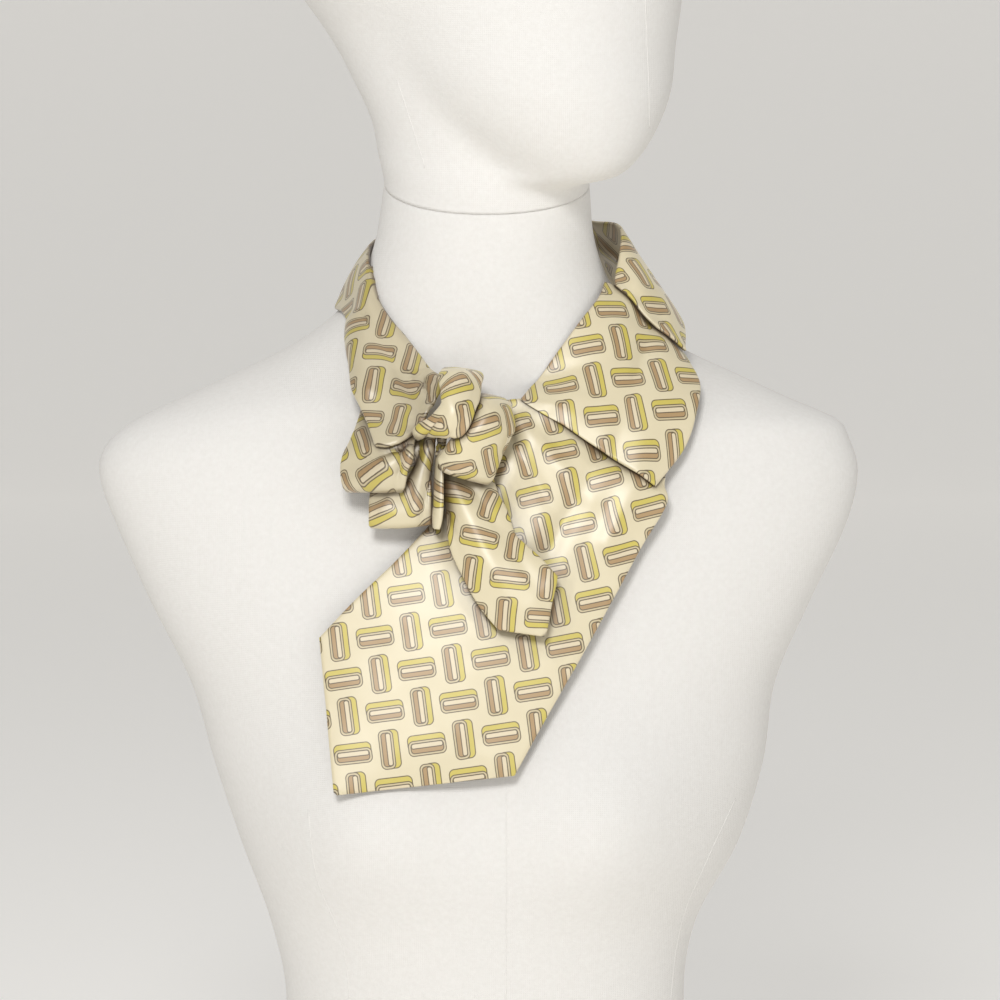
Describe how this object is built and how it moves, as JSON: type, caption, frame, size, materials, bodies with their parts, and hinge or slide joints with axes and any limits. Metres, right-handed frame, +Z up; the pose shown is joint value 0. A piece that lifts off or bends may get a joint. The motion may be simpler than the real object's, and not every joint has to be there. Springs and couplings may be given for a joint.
{
  "type": "cravat on a dress form",
  "caption": "Wide printed silk cravat wound once round the neck and tied left of centre, with a square-pointed blade on the chest, on a limbless linen dress form with a smooth head",
  "frame": {"origin": "middle of the dress form's flat base, on the floor", "axes": "+Z up, the form faces -Y, +X is its left (the viewer's right)"},
  "size_m": [0.393, 0.2122, 0.77],
  "materials": {
    "silk": "printed silk twill with a soft sheen",
    "linen": "matte fine linen"
  },
  "bodies": {
    "root": {"form_torso": "linen", "form_head": "linen", "blade": "silk", "collar_right_front": "silk", "collar_right_back": "silk", "collar_back": "silk", "collar_left": "silk", "left_loop": "silk", "lower_loop": "silk", "knot_fold": "silk", "tail": "silk", "knot_wrap": "silk", "knot_tab": "silk"}
  },
  "joints": []
}
